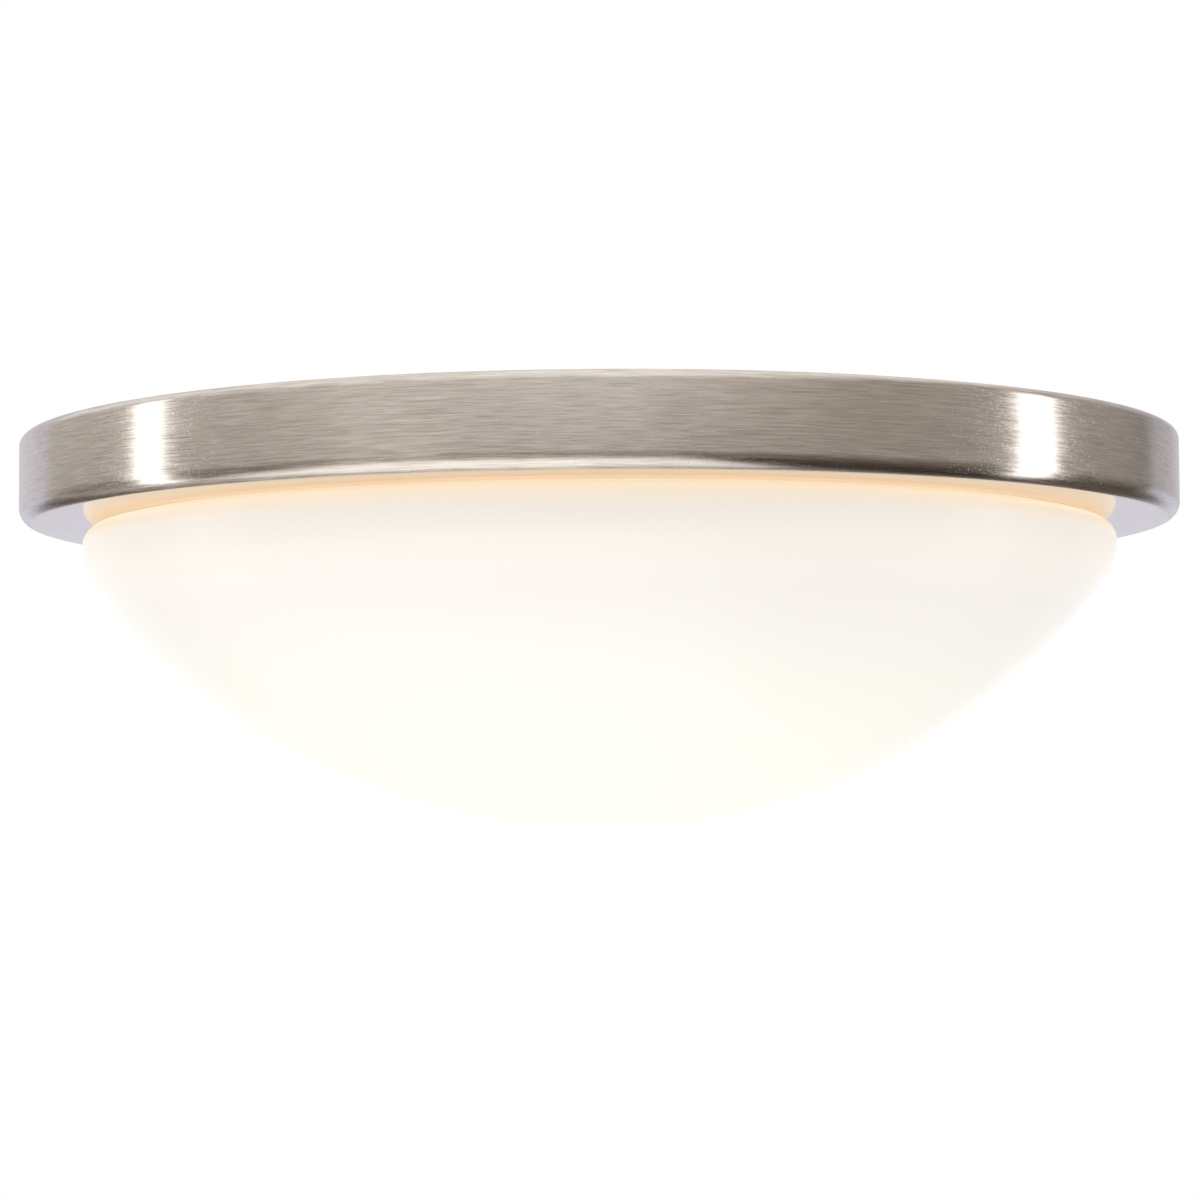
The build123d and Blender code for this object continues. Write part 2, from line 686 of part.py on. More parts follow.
def make_shade_gasket():
    """Silicone band round the neck, with rounded corners."""
    inner = neck_radius + gasket_clearance
    outer = opening_radius - gasket_proud_gap
    band = Rectangle(outer - inner, gasket_height, align=(Align.MIN, Align.MIN))
    band = fillet(band.vertices(), (outer - inner) * 0.3)
    return turned(Pos(inner, underside + gasket_rise) * band)


def make_mains_leads():
    """Live, neutral and earth leads, from inside the block's barrels."""
    start_x = -clamp_screw_spacing / 4
    first, second, third = pole_places()
    near_x, far_x = driver_lead_places()[1], driver_lead_places()[0]
    entry_y = driver_length / 2 - driver_socket_depth
    z, end_z = barrel_z, driver_lead_z
    end_x = block_length / 2
    bend_x = end_x + lead_first_bend
    slant_x = end_x + lead_second_bend
    live = [(start_x, first, z), (-bend_x, first, z), (-slant_x, first - lead_slant, end_z),
            (near_x + lead_corner_run, first - lead_corner_drop, end_z),
            (near_x, entry_y + lead_driver_run, end_z), (near_x, entry_y, end_z)]
    neutral = [(start_x, second, z), (-bend_x - lead_step, second, z),
               (-slant_x - lead_step, second - lead_slant, end_z),
               (far_x + lead_corner_run, second - lead_corner_drop, end_z),
               (far_x, entry_y + lead_driver_run + lead_step, end_z), (far_x, entry_y, end_z)]
    crimp_x = earth_screw_x + tag_barrel_start
    tag_end_x = crimp_x + tag_barrel_length + tag_lead_run
    earth = [(start_x, third, z), (-end_x - earth_lead_run, third, z),
             (tag_end_x, earth_screw_y, tag_z), (crimp_x, earth_screw_y, tag_z)]
    return live, neutral, earth


def make_led_leads():
    """Pair from the driver's far end, through the tray and into the board's connector.

    The farther lead goes round beyond the nearer one, so that neither crosses the other.
    """
    hole, angle = tray_hole_place, tray_hole_angle
    end_r = connector_place + connector_length / 2 - connector_socket_depth
    driver_end = -driver_length / 2
    far_x, near_x = driver_lead_places()
    near_way, far_way = connector_ways()
    beside = at_angle(hole + led_detour_out, angle, driver_lead_z, -led_detour_side).position
    routes = []
    far_run = led_lead_run + lead_step
    for x, way, run, detour in ((near_x, near_way, led_lead_run, []), (far_x, far_way, far_run, [beside])):
        start = (x, driver_end + driver_socket_depth, driver_lead_z)
        bend = (x, driver_end - run, driver_lead_z)
        above = at_angle(hole, angle, driver_lead_z - led_lead_drop, way).position
        corner = at_angle(hole, angle, connector_z, way).position
        end = at_angle(end_r, angle, connector_z, way).position
        routes.append([start, bend, *detour, above, corner, end])
    return routes


live_route, neutral_route, earth_route = make_mains_leads()
red_route, black_route = make_led_leads()

pieces = {
    "trim_pan": make_trim_pan(),
    "backplate": make_backplate(),
    "crossbar": make_crossbar(),
    "crossbar_studs": make_crossbar_studs(),
    "mounting_nuts": make_mounting_nuts(),
    "ground_screw": make_ground_screw(),
    "supply_grommet": make_supply_grommet(),
    "tray_grommet": make_tray_grommet(),
    "tray_standoffs": make_standoffs(),
    "reflector_tray": make_reflector_tray(),
    "tray_screws": make_tray_screws(),
    "led_board": make_led_board(),
    "led_chips": make_led_chips(),
    "board_screws": make_board_screws(),
    "board_connector": make_board_connector(),
    "driver_case": make_driver_case(),
    "driver_lid": make_driver_lid(),
    "driver_screws": make_driver_screws(),
    "terminal_block": make_terminal_block(),
    "terminal_barrels": make_terminal_barrels(),
    "terminal_screws": make_terminal_screws(),
    "block_screw": make_block_screw(),
    "earth_tag": make_earth_tag(),
    "earth_screw": make_earth_screw(),
    "live_lead": lead("live lead", live_route, mains_lead_radius),
    "neutral_lead": lead("neutral lead", neutral_route, mains_lead_radius),
    "earth_lead": lead("earth lead", earth_route, mains_lead_radius),
    "red_lead": lead("red lead", red_route, led_lead_radius),
    "black_lead": lead("black lead", black_route, led_lead_radius),
    "clip_rivets": make_clip_rivets(),
    "glass_shade": make_glass_shade(),
    "shade_gasket": make_shade_gasket(),
}
for index, angle in enumerate(clip_angles(), start=1):
    pieces[f"spring_clip_{index}"] = make_spring_clip(angle)

os.makedirs("parts", exist_ok=True)
for node, shape in pieces.items():
    solid = Compound(children=list(shape)) if isinstance(shape, list) else shape
    export_step(solid, f"parts/{node}.step")
print(f"{len(pieces)} sub-parts written")
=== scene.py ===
import math

import bpy
import numpy as np
from mathutils import Matrix, Quaternion, Vector


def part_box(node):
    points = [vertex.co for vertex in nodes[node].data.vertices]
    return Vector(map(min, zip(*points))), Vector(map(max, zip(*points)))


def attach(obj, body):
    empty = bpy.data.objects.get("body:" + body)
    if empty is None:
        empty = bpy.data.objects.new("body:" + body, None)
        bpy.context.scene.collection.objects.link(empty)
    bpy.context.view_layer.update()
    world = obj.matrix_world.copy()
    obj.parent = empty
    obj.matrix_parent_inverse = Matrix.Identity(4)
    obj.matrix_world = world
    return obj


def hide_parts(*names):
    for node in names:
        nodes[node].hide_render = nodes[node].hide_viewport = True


# Flush mount ceiling light: a brushed nickel pan with a lit opal glass dome under it.
# The ceiling is the plane z = 0, and sizes in the settings are millimetres unless a note says otherwise.

mm = 0.001
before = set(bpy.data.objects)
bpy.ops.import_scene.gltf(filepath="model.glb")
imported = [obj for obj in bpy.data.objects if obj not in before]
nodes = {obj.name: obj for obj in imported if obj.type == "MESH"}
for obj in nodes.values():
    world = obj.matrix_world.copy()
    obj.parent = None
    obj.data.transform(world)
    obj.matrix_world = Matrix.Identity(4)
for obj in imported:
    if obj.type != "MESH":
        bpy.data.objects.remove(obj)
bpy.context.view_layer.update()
print("frame loaded,", len(nodes), "nodes")


def hexColour(text):
    # sRGB hex to linear: c/12.92 below 0.04045, else ((c + 0.055) / 1.055) ^ 2.4
    parts = [int(text[i:i + 2], 16) / 255 for i in (1, 3, 5)]
    return tuple(c / 12.92 if c <= 0.04045 else ((c + 0.055) / 1.055) ** 2.4 for c in parts) + (1.0,)


def addNode(tree, kind, inputs=(), **settings):
    # one node: its settings, then its live inputs, by name or in order (a Mix has its factor, then its two
    # ends); each is a plain value, a socket, or a node, which stands for its first live output
    node = tree.nodes.new("ShaderNode" + kind)
    for key, value in settings.items():
        setattr(node, key, value)
    live = [socket for socket in node.inputs if socket.enabled]
    if isinstance(inputs, dict):
        named = {socket.name: socket for socket in live}
        live, inputs = [named[name] for name in inputs], inputs.values()
    for socket, value in zip(live, inputs):
        if isinstance(value, bpy.types.Node):
            value = next(output for output in value.outputs if output.enabled)
        if isinstance(value, bpy.types.NodeSocket):
            tree.links.new(value, socket)
        else:
            socket.default_value = value
    return node


def startMaterial(name):
    material = bpy.data.materials.new(name)
    material.use_nodes = True
    material.node_tree.nodes.clear()
    return material, material.node_tree


noiseSpan = (0.3, 0.7)      # noise seldom leaves this span, which is stretched to what a finish needs


def objectNoise(tree, spacing, detail=2.0, roughness=0.5):
    # noise whose features are spacing = (x, y, z) millimetres apart, on Object coordinates
    place = addNode(tree, "TexCoord").outputs["Object"]
    mapping = addNode(tree, "Mapping", {"Vector": place, "Scale": [1 / (step * mm) for step in spacing]})
    return addNode(tree, "TexNoise", {
        "Vector": mapping, "Scale": 1.0, "Detail": detail, "Roughness": roughness})


def gradedColour(tree, value, stops):
    # stops are (value, colour) from low to high, and the ramp runs from the first to the last
    low, high = stops[0][0], stops[-1][0]
    share = addNode(tree, "MapRange", [value, low, high, 0.0, 1.0])
    ramp = addNode(tree, "ValToRGB", [share])
    while len(ramp.color_ramp.elements) < len(stops):
        ramp.color_ramp.elements.new(0.5)
    for element, (place, colour) in zip(ramp.color_ramp.elements, stops):
        element.position = (place - low) / (high - low)
        element.color = hexColour(colour)
    return ramp


def roundedPath(corners, radii, steps):
    # straight runs joined by arcs: an arc of radius q at a corner of half turn h has its centre q / cos h
    # from the corner, towards the inside of the bend; it is centre + q (cos u outwards + sin u along),
    # u = -h .. h
    corners = np.array(corners, float)
    pieces = [corners[:1]]
    for before, here, after, q in zip(corners, corners[1:], corners[2:], radii):
        a = (here - before) / np.linalg.norm(here - before)
        b = (after - here) / np.linalg.norm(after - here)
        half = math.acos(np.clip(a @ b, -1, 1)) / 2
        inward = (b - a) / np.linalg.norm(b - a)
        along = (a + b) / np.linalg.norm(a + b)
        centre = here + inward * q / math.cos(half)
        u = np.linspace(-half, half, steps)[:, None]
        pieces.append(centre + q * (np.sin(u) * along - np.cos(u) * inward))
    pieces.append(corners[-1:])
    return np.concatenate(pieces)


def arcPoints(centre, radius, start, end, steps):
    # points centre + radius (cos t, sin t), t in degrees from start to end
    t = np.radians(np.linspace(start, end, steps))
    return np.stack([centre[0] + radius * np.cos(t), centre[1] + radius * np.sin(t)], 1)


def turnedRings(section, segments, closed):
    # each point (r, z) of the section is a ring x = r cos t, y = r sin t, t = 0 .. 2 pi, and quads join
    # each ring to the next; in a closed section they join the last to the first as well
    t = np.arange(segments) * 2 * np.pi / segments
    r, z = section[:, :1], section[:, 1:]
    vertices = np.stack([r * np.cos(t), r * np.sin(t), z + 0 * t], -1).reshape(-1, 3)
    joins = len(section) if closed else len(section) - 1
    i, j = np.meshgrid(np.arange(joins), np.arange(segments), indexing="ij")
    nextRing, nextStep = (i + 1) % len(section), (j + 1) % segments
    quads = np.stack([i * segments + j, nextRing * segments + j, nextRing * segments + nextStep,
                      i * segments + nextStep], -1)
    return vertices, quads.reshape(-1, 4)


sharpAngle = 40.0       # degrees between two faces, above which their edge stays sharp


def finishMesh(name, vertices, faces, materials, faceMaterials=None):
    mesh = bpy.data.meshes.new(name)
    mesh.from_pydata(vertices.tolist(), [], faces)
    for material in materials:
        mesh.materials.append(material)
    if faceMaterials is not None:
        mesh.polygons.foreach_set("material_index", np.asarray(faceMaterials, np.int32))
    mesh.polygons.foreach_set("use_smooth", np.ones(len(mesh.polygons), bool))
    mesh.set_sharp_from_angle(angle=math.radians(sharpAngle))
    mesh.update()
    piece = bpy.data.objects.new(name, mesh)
    bpy.context.scene.collection.objects.link(piece)
    return piece


cameraSettings = {
    # the photograph's line of sight: a little below the light, looking slightly up at it
    "distance": 939.7,          # from the light's axis
    "belowUnderside": 83.8,     # below the pan's flange
    "pitch": 3.855,             # degrees up
    "roll": -0.365,             # degrees
    "lens": 98.05,
    "sensor": 36.0,
    "nearest": 10.0,            # nothing nearer or farther than these is seen
    "farthest": 50000.0,
}


def makeCamera(s):
    camera = bpy.data.objects.new("camera", bpy.data.cameras.new("camera"))
    bpy.context.scene.collection.objects.link(camera)
    pitch, roll = math.radians(s["pitch"]), math.radians(s["roll"])
    forward = Vector((0, math.cos(pitch), math.sin(pitch)))
    side = Vector((1, 0, 0))
    up = side.cross(forward)
    right = side * math.cos(roll) + up * math.sin(roll)
    above = up * math.cos(roll) - side * math.sin(roll)
    turn = Matrix((right, above, -forward)).transposed().to_4x4()
    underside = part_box("trim_pan")[0].z
    place = Vector((0, -s["distance"] * mm, underside - s["belowUnderside"] * mm))
    camera.matrix_world = Matrix.Translation(place) @ turn
    camera.data.sensor_width = s["sensor"]
    camera.data.lens = s["lens"]
    camera.data.clip_start = s["nearest"] * mm
    camera.data.clip_end = s["farthest"] * mm
    bpy.context.scene.camera = camera


makeCamera(cameraSettings)
bpy.context.scene.view_settings.view_transform = "Standard"
print("camera set")


roomSettings = {
    "strength": 1.25,
    # the room by azimuth in degrees: 0 is behind the camera, -90 to its left, 90 to its right
    "room": [(-132, "#b8b3ad"), (-106, "#bdb8b2"), (-74, "#bcb7b1"), (-60, "#c8c2bc"),
             (-28, "#c4beb8"), (-12, "#c9c3bd"), (0, "#c6c0ba"), (9, "#beb8b3"), (16, "#a7a29c"),
             (38, "#afaaa4"), (62, "#b1aca6"), (90, "#b0aaa5"), (104, "#aaa49f"), (118, "#a19c97"),
             (133, "#88847f")],
    # how much of that colour is left from straight down (-1) to just above the horizon: at both sides,
    # in the middle, and between them on the left, where light bounces up
    "sinkSides": [(-1.0, "#4b423c"), (-0.85, "#554b44"), (-0.7, "#6f665e"), (-0.5, "#8f8881"),
                  (-0.2, "#bdb9b4"), (0.0, "#dedbd8"), (0.12, "#ffffff")],
    "sinkMiddle": [(-1.0, "#ffffff"), (-0.8, "#ffffff"), (-0.6, "#e8e6e4"), (-0.42, "#b7b4b1"),
                   (-0.2, "#9c9894"), (-0.02, "#d6d4d1"), (0.12, "#ffffff")],
    "sinkLeft": [(-1.0, "#ffffff"), (-0.7, "#ffffff"), (-0.45, "#e9e7e5"), (-0.15, "#eceae8"),
                 (0.12, "#ffffff")],
    # overhead, from the left (-1) to the right (+1)
    "overhead": [(-1.0, "#d6d2cd"), (-0.84, "#dad6d1"), (-0.66, "#f9f7f4"), (-0.4, "#efece8"),
                 (-0.1, "#fffefb"), (0.08, "#fffefb"), (0.34, "#fbf7f2"), (0.56, "#d2cdc7"),
                 (0.74, "#a8a39d"), (1.0, "#a39e98")],
    # what metal sees behind the light: above the horizon from left to right, just below it and far below it
    "backdropLeft": "#c8c6cd",
    "backdropRight": "#ada9ad",
    "backdropLow": "#cacbd7",
    "backdropFoot": "#5a514b",
    # where each part begins and where it is complete, along the direction's x, y or z or by azimuth
    "edges": {
        "bounceFromLeft": ("x", -0.79, -0.7),
        "bounceFromRight": ("x", 0.36, 0.2),
        "sinkMiddle": ("azimuth", -38, -14),
        "overhead": ("z", 0.1, 0.39),
        "backdropRight": ("x", 0.2, 0.6),
        "backdropLow": ("z", 0.04, -0.05),
        "backdropFoot": ("z", -0.15, -0.32),
        "behind": ("y", 0.685, 0.72),
    },
}


def makeRoom(s):
    # the room's colour goes by direction: left to right in front, pale overhead and behind, darker below
    world = bpy.data.worlds.new("studio")
    bpy.context.scene.world = world
    world.use_nodes = True
    tree = world.node_tree
    tree.nodes.clear()
    direction = addNode(tree, "SeparateXYZ", [addNode(tree, "TexCoord").outputs["Generated"]])
    along = {axis.lower(): direction.outputs[axis] for axis in "XYZ"}
    # azimuth in degrees = atan2(x, -y) * 180 / pi
    away = addNode(tree, "Math", [along["y"], -1.0], operation="MULTIPLY")
    turn = addNode(tree, "Math", [along["x"], away], operation="ARCTAN2")
    along["azimuth"] = addNode(tree, "Math", [turn], operation="DEGREES")
    # each share is 0 before its first edge, 1 past its second and smooth between
    share = {}
    for name, (axis, begin, full) in s["edges"].items():
        share[name] = addNode(tree, "MapRange", [along[axis], begin, full, 0.0, 1.0],
                              interpolation_type="SMOOTHSTEP")
    ramp = {name: gradedColour(tree, along[axis], s[name]) for name, axis in (
        ("room", "azimuth"), ("overhead", "x"), ("sinkSides", "z"), ("sinkMiddle", "z"), ("sinkLeft", "z"))}
    bounce = addNode(tree, "Math", [share["bounceFromLeft"], share["bounceFromRight"]], operation="MULTIPLY")
    inside = addNode(tree, "Mix", [share["sinkMiddle"], ramp["sinkLeft"], ramp["sinkMiddle"]],
                     data_type="RGBA")
    sink = addNode(tree, "Mix", [bounce, ramp["sinkSides"], inside], data_type="RGBA")
    colour = addNode(tree, "Mix", [1.0, ramp["room"], sink], data_type="RGBA", blend_type="MULTIPLY")
    backdrop = hexColour(s["backdropLeft"])
    for name in ("backdropRight", "backdropLow", "backdropFoot"):
        backdrop = addNode(tree, "Mix", [share[name], backdrop, hexColour(s[name])], data_type="RGBA")
    for name, part in (("overhead", ramp["overhead"]), ("behind", backdrop)):
        colour = addNode(tree, "Mix", [share[name], colour, part], data_type="RGBA")
    room = addNode(tree, "Background", {"Color": colour, "Strength": s["strength"]})
    # the camera, also through anything clear, sees plain white instead of the room
    plain = addNode(tree, "Background", {"Color": hexColour("#ffffff"), "Strength": 1.0})
    path = addNode(tree, "LightPath")
    seen = addNode(tree, "Math", [path.outputs["Is Camera Ray"], path.outputs["Is Transmission Ray"]],
                   operation="MAXIMUM")
    addNode(tree, "OutputWorld", {"Surface": addNode(tree, "MixShader", [seen, room, plain])})


floorSettings = {
    "depth": 2400.0,            # below the ceiling
    "radius": 14000.0,
    "sides": 180,
    "colour": "#f1f0ee",
    "roughness": 0.9,
}


def makeFloor(s):
    # matt emulsion paint, rolled on: one even pale tone that keeps the light's shadow
    material, tree = startMaterial("pale floor paint")
    paint = addNode(tree, "BsdfPrincipled", {
        "Base Color": hexColour(s["colour"]), "Roughness": s["roughness"]})
    addNode(tree, "OutputMaterial", {"Surface": paint})
    # its edge is round: x = r cos t, y = r sin t
    radius, t = s["radius"] * mm, np.arange(s["sides"]) * 2 * np.pi / s["sides"]
    edge = np.stack([radius * np.cos(t), radius * np.sin(t), 0 * t - s["depth"] * mm], 1)
    floor = finishMesh("floor", edge, [list(range(s["sides"]))], [material])
    floor.visible_glossy = False        # the rounded lower edge of the pan shows the dark of the room instead


lampSettings = {
    # azimuth and lean in degrees, azimuth 0 on the camera's side and 90 towards +X; sizes in metres, and
    # radiance 1 is plain white
    "leftStrip": {"azimuth": -89.4, "height": 0.085, "distance": 1.25, "width": 0.145, "tall": 0.67,
                  "radiance": 3.4, "lean": 0.0},
    "rightStrip": {"azimuth": 86.0, "height": 0.085, "distance": 1.25, "width": 0.195, "tall": 0.67,
                   "radiance": 3.4, "lean": 0.0},
    # their lower ends lean back, so that their reflections run straight down over the rounded edge
    "leftFoot": {"azimuth": -99.3, "height": -0.7, "distance": 1.26, "width": 0.15, "tall": 1.04,
                 "radiance": 3.4, "lean": -31.0},
    "rightFoot": {"azimuth": 95.7, "height": -0.7, "distance": 1.26, "width": 0.19, "tall": 1.04,
                  "radiance": 3.4, "lean": 31.0},
}
# a flat lamp below and in front of the light that faces straight up, also in metres
cardSettings = {"x": (-0.58, 0.2), "y": (-0.64, 0.12), "depth": 0.6, "radiance": 0.92}


def addLamp(name, place, aim, width, tall, radiance, lean=0.0):
    # an area lamp of power W over area A shows a radiance of W / (A pi)
    lamp = bpy.data.lights.new(name, "AREA")
    lamp.shape = "RECTANGLE"
    lamp.size, lamp.size_y = width, tall
    lamp.energy = radiance * math.pi * width * tall
    lampObject = bpy.data.objects.new(name, lamp)
    bpy.context.scene.collection.objects.link(lampObject)
    lampObject.location = place
    turn = Vector(aim).to_track_quat("-Z", "Y") @ Quaternion((0, 0, 1), math.radians(lean))
    lampObject.rotation_euler = turn.to_euler()


def makeLamps(lamps, card):
    # each upright lamp looks level at the light's axis
    for name, s in lamps.items():
        turn = math.radians(s["azimuth"])
        x, y = s["distance"] * math.sin(turn), -s["distance"] * math.cos(turn)
        addLamp(name, (x, y, s["height"]), (-x, -y, 0), s["width"], s["tall"], s["radiance"], s["lean"])
    (left, right), (front, back) = card["x"], card["y"]
    place = ((left + right) / 2, (front + back) / 2, -card["depth"])
    addLamp("bounceCard", place, (0, 0, 1), right - left, back - front, card["radiance"])


makeRoom(roomSettings)
makeFloor(floorSettings)
makeLamps(lampSettings, cardSettings)
print("stage set")


nickelSettings = {
    "wall": "#e3dcd6",
    "wallDark": "#b9b1a9",
    "lineSpacing": 0.24,        # true lines are near 0.05 mm apart, drawn coarser so that they show
    "lineLength": 11.0,
    "lineDetail": (2.0, 0.7),   # finer lines within them: how many octaves, and how strong each is
    "bandSpacing": 1.3,
    "bandLength": 60.0,
    "bandShare": 0.05,          # of the tone; the rest comes from the lines
    "toneSpan": (0.32, 0.68),   # of the noise, from the dark colour to the pale one
    "roughness": (0.2, 0.29),
    "anisotropy": 0.9,
    "grooveDepth": 0.003,
    "grooveStrength": 0.5,
    "pitSpacing": 0.42,         # small torn spots that sparkle beside the highlights
    "pitStretch": 1.6,          # their length along the brush, in widths
    "pitSpan": (0.63, 0.68),    # of the noise: only its peaks are pits
    "pitDepth": 0.014,
    "pitStrength": 0.6,
}
# the underside's warm tan is partly the nickel's own tint and partly painted reflection of the glass's amber
# glow
buffedSettings = {"colour": "#d8c6b5", "haze": 30.0, "roughness": (0.07, 0.12)}


def brushedNickel(s):
    # nickel plate over steel, brushed round the wall with a belt: long fine lines, light spread up and down
    material, tree = startMaterial("brushed nickel")
    lines = objectNoise(tree, (s["lineLength"], s["lineLength"], s["lineSpacing"]), *s["lineDetail"])
    bands = objectNoise(tree, (s["bandLength"], s["bandLength"], s["bandSpacing"]), detail=1.0)
    both = addNode(tree, "Mix", [s["bandShare"], lines, bands])
    tone = addNode(tree, "MapRange", [both, *s["toneSpan"], 0.0, 1.0])
    colour = addNode(tree, "Mix", [tone, hexColour(s["wallDark"]), hexColour(s["wall"])], data_type="RGBA")
    pitLength = s["pitSpacing"] * s["pitStretch"]
    spots = objectNoise(tree, (pitLength, pitLength, s["pitSpacing"]), detail=1.0)
    pits = addNode(tree, "MapRange", [spots, *s["pitSpan"], 0.0, 1.0])
    pitted = addNode(tree, "Bump", {
        "Height": pits, "Strength": s["pitStrength"], "Distance": s["pitDepth"] * mm})
    grooved = addNode(tree, "Bump", {
        "Height": lines, "Strength": s["grooveStrength"], "Distance": s["grooveDepth"] * mm,
        "Normal": pitted})
    plate = addNode(tree, "BsdfPrincipled", {
        "Base Color": colour,
        "Roughness": addNode(tree, "MapRange", [lines, *noiseSpan, *s["roughness"]]),
        "Metallic": 1.0,
        "Anisotropic": s["anisotropy"],
        "Anisotropic Rotation": 0.25,       # a quarter turn: the light spreads across the brush
        "Tangent": addNode(tree, "Tangent", direction_type="RADIAL", axis="Z"),
        "Normal": grooved})
    addNode(tree, "OutputMaterial", {"Surface": plate})
    return material


def buffedNickel(s):
    # the same plate left as it was drawn and buffed: almost a mirror, with a faint haze
    material, tree = startMaterial("buffed nickel")
    haze = objectNoise(tree, [s["haze"]] * 3)
    plate = addNode(tree, "BsdfPrincipled", {
        # warmer than the wall's nickel: partly its own tint, partly a painted reflection of the lit glass
        "Base Color": hexColour(s["colour"]),
        "Roughness": addNode(tree, "MapRange", [haze, *noiseSpan, *s["roughness"]]),
        "Metallic": 1.0})
    addNode(tree, "OutputMaterial", {"Surface": plate})
    return material


glassSettings = {
    "body": "#918e89",
    # glow of the lit glass by height above the lowest point of the dome: lamp white at the bottom, dimmer
    # round the shoulder, warm at the crown and amber at the neck
    "glow": [(0.0, "#e0e0d8"), (60.0, "#d0ceca"), (80.0, "#d4cec6"), (85.0, "#ecdac0"), (88.0, "#dcbc94")],
    "strength": 1.0,
    "cloud": 60.0,              # size of the patches that are etched a little more or less
    "roughness": (0.34, 0.42),
    "ior": 1.5,
    "specular": 0.35,
}


def opalGlass(s):
    # opal glass, blown and etched satin: milky right through, so the lamp behind it makes the whole dome
    # glow, warmest at the crown next to the metal
    material, tree = startMaterial("opal glass")
    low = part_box("glass_shade")[0].z
    height = addNode(tree, "SeparateXYZ", [addNode(tree, "TexCoord").outputs["Object"]]).outputs["Z"]
    glow = gradedColour(tree, height, [(low + rise * mm, colour) for rise, colour in s["glow"]])
    cloud = objectNoise(tree, [s["cloud"]] * 3, detail=1.0)
    glass = addNode(tree, "BsdfPrincipled", {
        "Base Color": hexColour(s["body"]),
        "Roughness": addNode(tree, "MapRange", [cloud, *noiseSpan, *s["roughness"]]),
        "IOR": s["ior"],
        "Specular IOR Level": s["specular"],
        "Emission Color": glow,
        "Emission Strength": s["strength"]})
    addNode(tree, "OutputMaterial", {"Surface": glass})
    return material


nickel = brushedNickel(nickelSettings)
buffed = buffedNickel(buffedSettings)
opal = opalGlass(glassSettings)
print("main finishes made")


panSettings = {
    "sheet": 0.9,
    "topRadius": 2.3,
    "bottomRadius": 4.3,
    "topLip": 6.5,
    "flange": 24.5,
    "collar": 3.5,
    "collarRadius": 1.5,
    "smoothShare": 0.03,        # of the lower rounding, by height, that the brush doesn't reach
    "segments": 480,
    "arcSteps": 14,
}


def makeTrimPan(s):
    # drawn sheet, turned round the axis: its section is the outer skin from the top lip down the wall, along
    # the flange and up the collar, then the inner skin back
    low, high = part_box("trim_pan")
    radius, height, t = high.x / mm, (high.z - low.z) / mm, s["sheet"]
    opening = radius - s["flange"]
    lip, collarTop = radius - s["topLip"], s["collar"] - height
    radii = np.array([s["topRadius"], s["bottomRadius"], s["collarRadius"]])
    outer = roundedPath([(lip, 0), (radius, 0), (radius, -height), (opening, -height), (opening, collarTop)],
                        radii, s["arcSteps"])
    inner = roundedPath([(lip, -t), (radius - t, -t), (radius - t, t - height), (opening + t, t - height),
                         (opening + t, collarTop)], radii - t, s["arcSteps"])
    section = np.concatenate([outer, inner[::-1]])
    vertices, faces = turnedRings(section * mm, s["segments"], True)
    # the brush goes round the top edge and over most of the lower rounding
    middle = (section + np.roll(section, -1, 0)) / 2
    brushEnd = s["bottomRadius"] * s["smoothShare"] - height
    brushed = (middle[:, 1] > brushEnd) & (middle[:, 0] > lip) & (np.arange(len(section)) < len(outer))
    finishes = np.repeat(np.where(brushed, 0, 1), s["segments"])
    piece = finishMesh("trimPan", vertices, faces.tolist(), [nickel, buffed], finishes)
    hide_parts("trim_pan")
    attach(piece, "pan")


makeTrimPan(panSettings)
print("trim pan made")


shadeSettings = {
    "wall": 3.2,
    "shoulderRadius": 16.5,
    "crownRadius": 5.6,
    "gap": 0.4,                 # under the pan's flange
    "neckFillet": 1.5,
    "lipClearance": 0.7,        # inside the pan's opening
    "groove": 2.0,              # from the lip in to the neck
    "segments": 360,
    "bowlSteps": 56,
    "shoulderSteps": 18,
    "crownSteps": 12,
    "filletSteps": 10,
    "lipSteps": 30,
}


